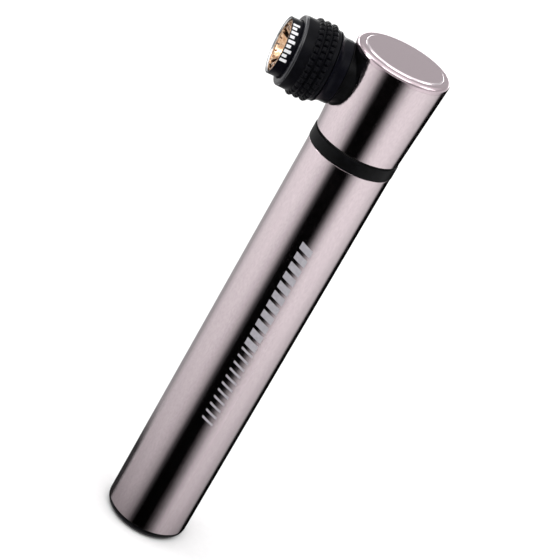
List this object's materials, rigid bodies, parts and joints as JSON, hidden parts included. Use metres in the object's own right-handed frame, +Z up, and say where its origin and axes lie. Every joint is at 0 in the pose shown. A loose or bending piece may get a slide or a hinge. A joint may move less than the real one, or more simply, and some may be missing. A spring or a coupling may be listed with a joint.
{
  "type": "bicycle mini pump",
  "caption": "Slim metal hand pump whose outer tube slides along a hidden barrel, with a conical head and a black screw-on valve chuck pointing sideways.",
  "frame": {"origin": "centre of the end cap's flat base, on the axis of the tube", "axes": "+Z up along the tube towards the head; the chuck points along -X"},
  "size_m": [0.0475, 0.0288, 0.1681],
  "materials": {
    "anodised_aluminium": "fine brushed and bright anodised",
    "plain_aluminium": "smooth drawn tube",
    "black_aluminium": "satin black anodised",
    "black_plastic": "satin moulded",
    "sleeve_rubber": "moulded grip with bumps",
    "seal_rubber": "soft matte",
    "nylon": "turned nylon",
    "brass": "machined",
    "steel": "ground"
  },
  "bodies": {
    "handle": {"handle_tube": "anodised_aluminium", "end_cap": "black_plastic", "guide_ring": "black_plastic", "wiper_ring": "seal_rubber", "head_bumper": "seal_rubber", "piston_rod": "plain_aluminium", "rod_nut": "steel", "piston": "nylon", "piston_screw": "steel", "piston_bumper": "seal_rubber"},
    "floating_ring": {"piston_oring": "seal_rubber"},
    "barrel_and_head": {"barrel_tube": "plain_aluminium", "barrel_foot": "nylon", "foot_bumper": "seal_rubber", "barrel_oring": "seal_rubber", "head_shell": "anodised_aluminium", "head_core": "black_plastic", "top_cap": "anodised_aluminium", "top_disc": "anodised_aluminium", "cap_screw": "steel", "valve_seat": "brass", "valve_spring": "steel"},
    "poppet": {"valve_poppet": "seal_rubber"},
    "seal_carrier": {"chuck_seal": "seal_rubber"},
    "chuck": {"chuck_body": "black_aluminium", "gland": "seal_rubber", "gland_washer": "brass", "collar": "black_aluminium", "sleeve_oring": "seal_rubber"},
    "sliding_sleeve": {"sleeve": "sleeve_rubber"},
    "first_jaw": {"jaw_1": "brass"},
    "second_jaw": {"jaw_2": "brass"},
    "third_jaw": {"jaw_3": "brass"}
  },
  "joints": [
    {"name": "pump_stroke", "type": "slide", "parent": "handle", "child": "barrel_and_head", "axis": [0, 0, 1], "range_m": [0, 0.105]},
    {"name": "ring_float", "type": "slide", "parent": "handle", "child": "floating_ring", "axis": [0, 0, 1], "range_m": [0, 0.0007]},
    {"name": "poppet_lift", "type": "slide", "parent": "barrel_and_head", "child": "poppet", "axis": [0, 0, 1], "range_m": [0, 0.0008], "stiffness_N_per_m": 50, "springref_m": -0.001, "deforming": ["valve_spring"]},
    {"name": "chuck_advance", "type": "slide", "parent": "barrel_and_head", "child": "seal_carrier", "axis": [-1, 0, 0], "range_m": [0, 0.0046]},
    {"name": "chuck_turn", "type": "hinge", "parent": "seal_carrier", "child": "chuck", "pos_m": [0, 0, 0.15643], "axis": [-1, 0, 0], "range_deg": [0, 1620]},
    {"name": "sleeve_slide", "type": "slide", "parent": "chuck", "child": "sliding_sleeve", "axis": [-1, 0, 0], "range_m": [0, 0.0026]},
    {"name": "first_jaw_grip", "type": "slide", "parent": "chuck", "child": "first_jaw", "axis": [0, 0, -1], "range_m": [0, 0.0005]},
    {"name": "second_jaw_grip", "type": "slide", "parent": "chuck", "child": "second_jaw", "axis": [0, -0.866, 0.5], "range_m": [0, 0.0005]},
    {"name": "third_jaw_grip", "type": "slide", "parent": "chuck", "child": "third_jaw", "axis": [0, 0.866, 0.5], "range_m": [0, 0.0005]}
  ],
  "couplings": [
    {"joint": "chuck_advance", "follows": "chuck_turn", "m_per_rad": 0.00015915},
    {"joint": "first_jaw_grip", "follows": "sleeve_slide", "ratio": 0.19},
    {"joint": "second_jaw_grip", "follows": "sleeve_slide", "ratio": 0.19},
    {"joint": "third_jaw_grip", "follows": "sleeve_slide", "ratio": 0.19}
  ]
}
